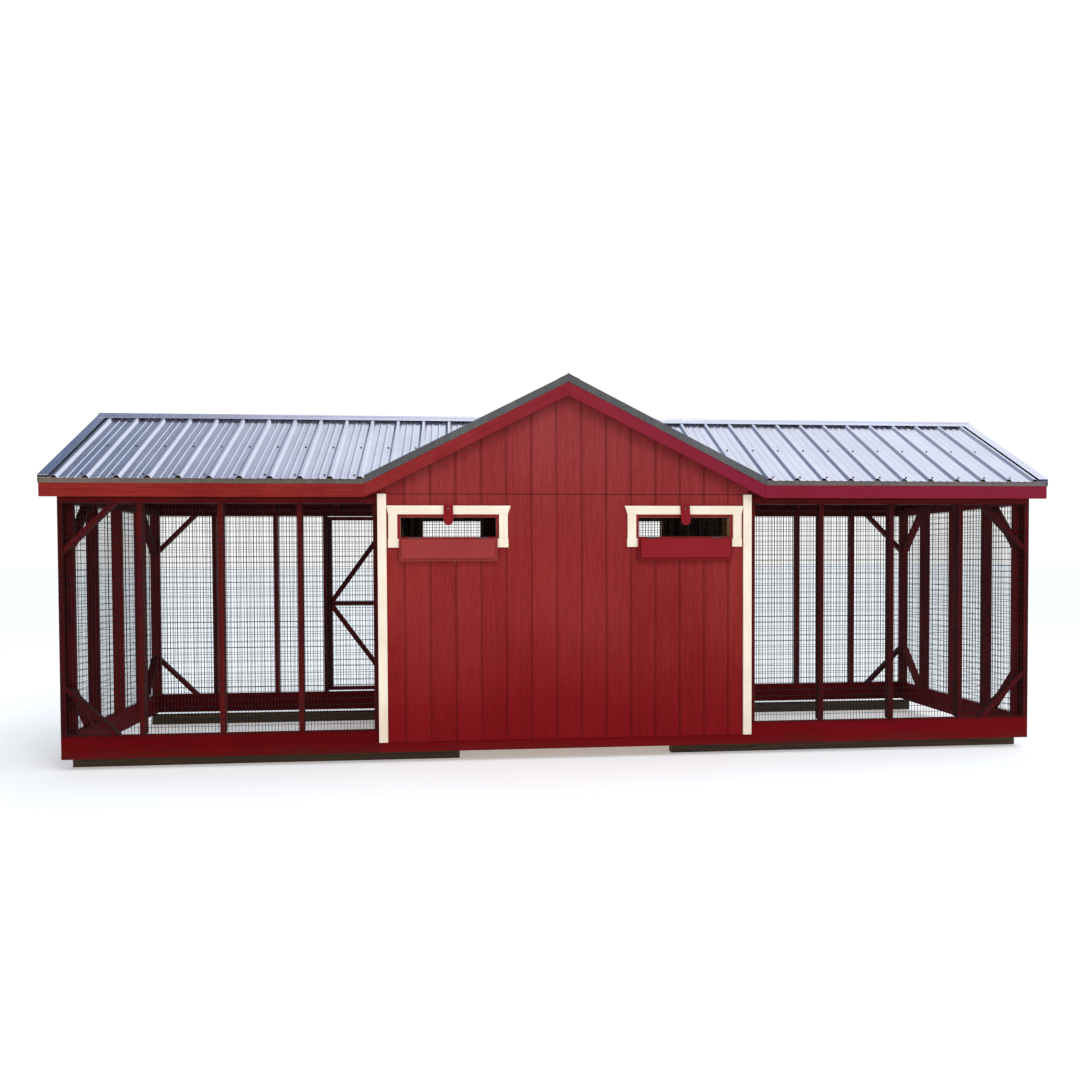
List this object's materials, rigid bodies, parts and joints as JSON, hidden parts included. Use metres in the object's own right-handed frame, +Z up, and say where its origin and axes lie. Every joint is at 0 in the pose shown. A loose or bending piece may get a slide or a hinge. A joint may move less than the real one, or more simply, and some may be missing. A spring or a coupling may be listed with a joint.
{
  "type": "chicken coop",
  "caption": "Long timber chicken coop: closed centre hen house with cross gable between two wire-mesh runs, on skids under a ribbed steel roof.",
  "frame": {"origin": "centre of the footprint at ground level, under the skids", "axes": "+X along the length, -Y towards the front with the two vents, +Z up"},
  "size_m": [8.1118, 2.682, 3.1244],
  "materials": {
    "treated_timber": "rough-sawn pressure-treated timber, unpainted, brown",
    "red_rail": "dark barn-red stain on planed board",
    "red_frame": "dark barn-red stain on planed framing timber",
    "red_siding": "barn-red stain on grooved panel with embossed grain",
    "red_board": "barn-red stain on smooth board",
    "red_fascia": "barn-red stain on planed fascia board",
    "bare_timber": "unpainted softwood framing timber",
    "plywood": "unpainted plywood",
    "cream_trim": "cream paint on trim board, satin",
    "black_mesh": "black vinyl-coated welded wire",
    "zinc": "zinc-plated steel",
    "roof_steel": "pale blue-grey coated ribbed steel sheet",
    "grey_metal": "grey-brown folded steel drip edge",
    "dark_metal": "dark grey folded steel rake trim"
  },
  "bodies": {
    "coop": {"base_rails": "red_rail", "button_screws": "zinc", "corner_trims": "cream_trim", "eave_trims": "grey_metal", "end_rake_trims": "roof_steel", "end_studs": "red_frame", "fascia": "red_fascia", "fixed_leaves": "zinc", "floor_joists": "bare_timber", "gable_rake_trims": "dark_metal", "gable_siding": "red_siding", "hardware_cloth": "black_mesh", "hinge_pins": "zinc", "house_floor": "plywood", "house_studs": "bare_timber", "knee_braces": "red_frame", "mesh_ends": "black_mesh", "mesh_front": "black_mesh", "mesh_rear": "black_mesh", "nest_boxes": "plywood", "partition_siding": "red_siding", "pop_door_tracks": "bare_timber", "purlins": "red_frame", "rafters": "red_frame", "rear_casing": "cream_trim", "ridge_boards": "red_frame", "ridge_caps": "roof_steel", "roof_screws": "zinc", "roof_sheets_gable": "roof_steel", "roof_sheets_main": "roof_steel", "roost_bars": "bare_timber", "run_posts": "red_frame", "siding_front": "red_siding", "siding_rear": "red_siding", "skids": "treated_timber", "top_plates": "red_frame", "valley_flashings": "roof_steel", "vent_trim": "cream_trim"},
    "vent_flap_left": {"vent_flap_left": "red_board", "vent_leaves_left": "zinc"},
    "vent_flap_right": {"vent_flap_right": "red_board", "vent_leaves_right": "zinc"},
    "turn_button_left": {"turn_button_left": "red_board"},
    "turn_button_right": {"turn_button_right": "red_board"},
    "run_door": {"run_door_frame": "red_frame", "run_door_braces": "red_frame", "run_door_mesh": "black_mesh", "run_door_leaves": "zinc", "run_door_pull": "red_board"},
    "run_door_button": {"run_door_button": "red_board"},
    "house_door": {"house_door_slab": "red_siding", "house_door_boards": "cream_trim", "house_door_leaves": "zinc", "house_door_pull": "red_board"},
    "house_door_button": {"house_door_button": "red_board"},
    "pop_door_left": {"pop_door_left": "plywood"},
    "pop_door_right": {"pop_door_right": "plywood"}
  },
  "joints": [
    {"name": "vent_flap_left_hinge", "type": "hinge", "parent": "coop", "child": "vent_flap_left", "pos_m": [-0.963, -1.2495, 1.806], "axis": [-1, 0, 0], "range_deg": [0, 180]},
    {"name": "turn_button_left_pivot", "type": "hinge", "parent": "coop", "child": "turn_button_left", "pos_m": [-0.963, -1.2584, 2.042], "axis": [0, 1, 0], "range_deg": [0, 90]},
    {"name": "vent_flap_right_hinge", "type": "hinge", "parent": "coop", "child": "vent_flap_right", "pos_m": [0.963, -1.2495, 1.806], "axis": [-1, 0, 0], "range_deg": [0, 180]},
    {"name": "turn_button_right_pivot", "type": "hinge", "parent": "coop", "child": "turn_button_right", "pos_m": [0.963, -1.2584, 2.042], "axis": [0, -1, 0], "range_deg": [0, 90]},
    {"name": "run_door_hinge", "type": "hinge", "parent": "coop", "child": "run_door", "pos_m": [-1.5635, 1.2242, 1.1825], "axis": [0, 0, -1], "range_deg": [0, 110]},
    {"name": "run_door_button_pivot", "type": "hinge", "parent": "coop", "child": "run_door_button", "pos_m": [-2.241, 1.2297, 1.1825], "axis": [0, -1, 0], "range_deg": [0, 90]},
    {"name": "house_door_hinge", "type": "hinge", "parent": "coop", "child": "house_door", "pos_m": [-0.3795, 1.2552, 1.142], "axis": [0, 0, 1], "range_deg": [0, 110]},
    {"name": "house_door_button_pivot", "type": "hinge", "parent": "coop", "child": "house_door_button", "pos_m": [0.419, 1.2584, 1.142], "axis": [0, 1, 0], "range_deg": [0, 90]},
    {"name": "pop_door_left_lift", "type": "slide", "parent": "coop", "child": "pop_door_left", "axis": [0, 0, 1], "range_m": [0, 0.368]},
    {"name": "pop_door_right_lift", "type": "slide", "parent": "coop", "child": "pop_door_right", "axis": [0, 0, 1], "range_m": [0, 0.368]}
  ],
  "couplings": [
    {"joint": "turn_button_left_pivot", "follows": "vent_flap_left_hinge", "ratio": 0.5},
    {"joint": "turn_button_right_pivot", "follows": "vent_flap_right_hinge", "ratio": 0.5}
  ]
}
